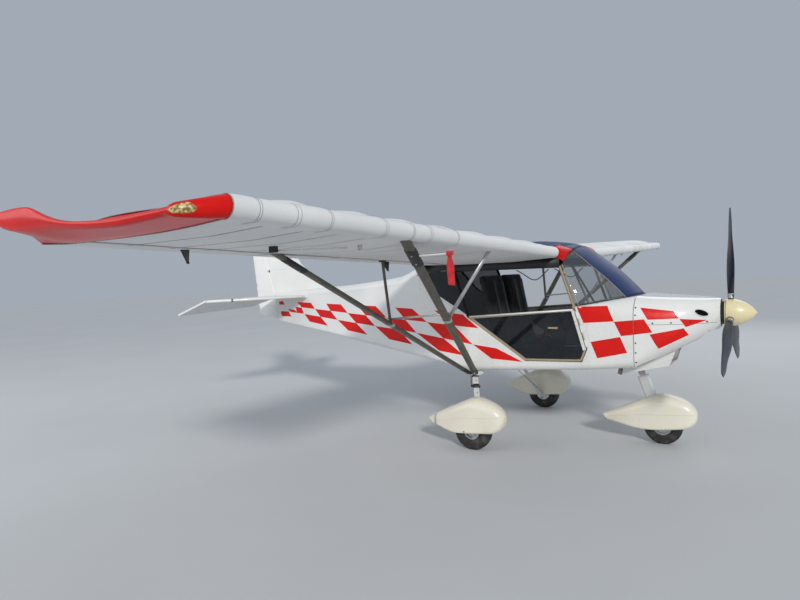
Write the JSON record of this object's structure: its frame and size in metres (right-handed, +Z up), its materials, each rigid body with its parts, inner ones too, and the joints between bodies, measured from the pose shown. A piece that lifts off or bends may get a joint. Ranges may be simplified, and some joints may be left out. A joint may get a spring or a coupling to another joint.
{
  "type": "ultralight aeroplane",
  "caption": "Two-seat high-wing strut-braced ultralight aeroplane with tricycle wheels, half doors, a tractor propeller and moving control surfaces.",
  "frame": {"origin": "on the ground, below the middle of the whole aeroplane's bounding box", "axes": "+X towards the propeller, +Y towards the left wing tip, +Z up"},
  "size_m": [5.9, 8.537, 2.215],
  "materials": {
    "wing_fabric": "taut satin fabric",
    "surface_fabric": "taut satin fabric",
    "tip_red": "gloss",
    "body_white": "gloss paint",
    "tail_cloth": "taut painted fabric",
    "cowl_white": "gloss",
    "spat_cream": "gloss",
    "spinner_cream": "gloss",
    "screen_clear": "clear",
    "roof_navy": "tinted",
    "window_dark": "tinted",
    "frame_tan": "satin paint",
    "firewall_metal": "brushed",
    "engine_grey": "matt",
    "strut_bronze": "satin paint",
    "jury_grey": "satin",
    "leg_grey": "satin paint",
    "rim_metal": "satin",
    "tyre_black": "matt",
    "blade_black": "satin",
    "seat_black": "matt",
    "panel_black": "matt",
    "control_black": "satin",
    "pitot_white": "satin",
    "flag_red": "matt",
    "aerial_black": "satin",
    "exhaust_steel": "heat stained"
  },
  "bodies": {
    "airframe": {"belly_aerial": "aerial_black", "cabin_controls": "control_black", "cabin_frame": "frame_tan", "cabin_tub": "body_white", "chin_scoop": "cowl_white", "engine": "engine_grey", "exhaust_pipe": "exhaust_steel", "fin": "tail_cloth", "firewall": "firewall_metal", "front_struts": "strut_bronze", "instrument_panel": "panel_black", "jury_struts": "jury_grey", "lower_cowl": "cowl_white", "main_legs": "leg_grey", "main_spats": "spat_cream", "nose_socket": "leg_grey", "pitot_flag": "flag_red", "pitot_tube": "pitot_white", "quarter_windows": "window_dark", "radiator": "firewall_metal", "rear_fuselage": "tail_cloth", "rear_struts": "strut_bronze", "roof_sheet": "roof_navy", "root_fairings": "tip_red", "seat_frame": "firewall_metal", "seats": "seat_black", "stabiliser": "surface_fabric", "strut_feet": "body_white", "tie_down_lugs": "jury_grey", "upper_cowl": "cowl_white", "windscreen": "screen_clear", "wing_left": "wing_fabric", "wing_right": "wing_fabric", "wing_tips": "tip_red"},
    "propeller": {"propeller": "blade_black", "spinner": "spinner_cream"},
    "main_wheel_right": {"main_rim_right": "rim_metal", "main_tyre_right": "tyre_black"},
    "main_wheel_left": {"main_rim_left": "rim_metal", "main_tyre_left": "tyre_black"},
    "nose_fork": {"nose_leg": "leg_grey", "nose_spat": "spat_cream"},
    "nose_wheel": {"nose_rim": "rim_metal", "nose_tyre": "tyre_black"},
    "rudder": {"rudder": "tail_cloth"},
    "elevator": {"elevator": "surface_fabric"},
    "flap_right": {"flap_right": "surface_fabric"},
    "flap_left": {"flap_left": "surface_fabric"},
    "aileron_right": {"aileron_right": "surface_fabric"},
    "aileron_left": {"aileron_left": "surface_fabric"},
    "door_right": {"door_frame_right": "frame_tan", "door_pane_right": "window_dark"},
    "door_left": {"door_frame_left": "frame_tan", "door_pane_left": "window_dark"}
  },
  "joints": [
    {"name": "prop_spin", "type": "hinge", "parent": "airframe", "child": "propeller", "pos_m": [2.761, 0, 1.168], "axis": [1, 0, 0], "continuous": true},
    {"name": "main_wheel_right_spin", "type": "hinge", "parent": "airframe", "child": "main_wheel_right", "pos_m": [0.805, -0.894, 0.172], "axis": [0, 1, 0], "continuous": true},
    {"name": "main_wheel_left_spin", "type": "hinge", "parent": "airframe", "child": "main_wheel_left", "pos_m": [0.805, 0.894, 0.172], "axis": [0, 1, 0], "continuous": true},
    {"name": "nose_steer", "type": "hinge", "parent": "airframe", "child": "nose_fork", "pos_m": [2.224, 0, 0.16], "axis": [-0.342, 0, 0.9397], "range_deg": [-20, 20]},
    {"name": "nose_wheel_spin", "type": "hinge", "parent": "nose_fork", "child": "nose_wheel", "pos_m": [2.224, 0, 0.16], "axis": [0, 1, 0], "continuous": true},
    {"name": "rudder_swing", "type": "hinge", "parent": "airframe", "child": "rudder", "pos_m": [-2.481, 0, 1.062], "axis": [-0.2723, 0, 0.9622], "range_deg": [-20, 20]},
    {"name": "elevator_swing", "type": "hinge", "parent": "airframe", "child": "elevator", "pos_m": [-2.48, 0, 1.362], "axis": [0, 1, 0], "range_deg": [0, 45]},
    {"name": "flap_right_swing", "type": "hinge", "parent": "airframe", "child": "flap_right", "pos_m": [0.404, -1.9998, 1.7498], "axis": [0, -0.9992, 0.0397], "range_deg": [0, 30]},
    {"name": "flap_left_swing", "type": "hinge", "parent": "airframe", "child": "flap_left", "pos_m": [0.404, 1.9998, 1.7498], "axis": [0, -0.9992, -0.0397], "range_deg": [0, 30]},
    {"name": "aileron_right_swing", "type": "hinge", "parent": "airframe", "child": "aileron_right", "pos_m": [0.404, -1.9998, 1.7498], "axis": [0, -0.9992, 0.0397], "range_deg": [-20, 20]},
    {"name": "aileron_left_swing", "type": "hinge", "parent": "airframe", "child": "aileron_left", "pos_m": [0.404, 1.9998, 1.7498], "axis": [0, -0.9992, -0.0397], "range_deg": [-20, 20]},
    {"name": "door_right_swing", "type": "hinge", "parent": "airframe", "child": "door_right", "pos_m": [1.729, -0.556, 0.912], "axis": [-0.2701, 0, 0.9628], "range_deg": [0, 85]},
    {"name": "door_left_swing", "type": "hinge", "parent": "airframe", "child": "door_left", "pos_m": [1.729, 0.556, 0.912], "axis": [0.2701, 0, -0.9628], "range_deg": [0, 85]}
  ],
  "couplings": [
    {"joint": "rudder_swing", "follows": "nose_steer", "ratio": -1},
    {"joint": "flap_left_swing", "follows": "flap_right_swing", "ratio": 1},
    {"joint": "aileron_left_swing", "follows": "aileron_right_swing", "ratio": -1}
  ]
}
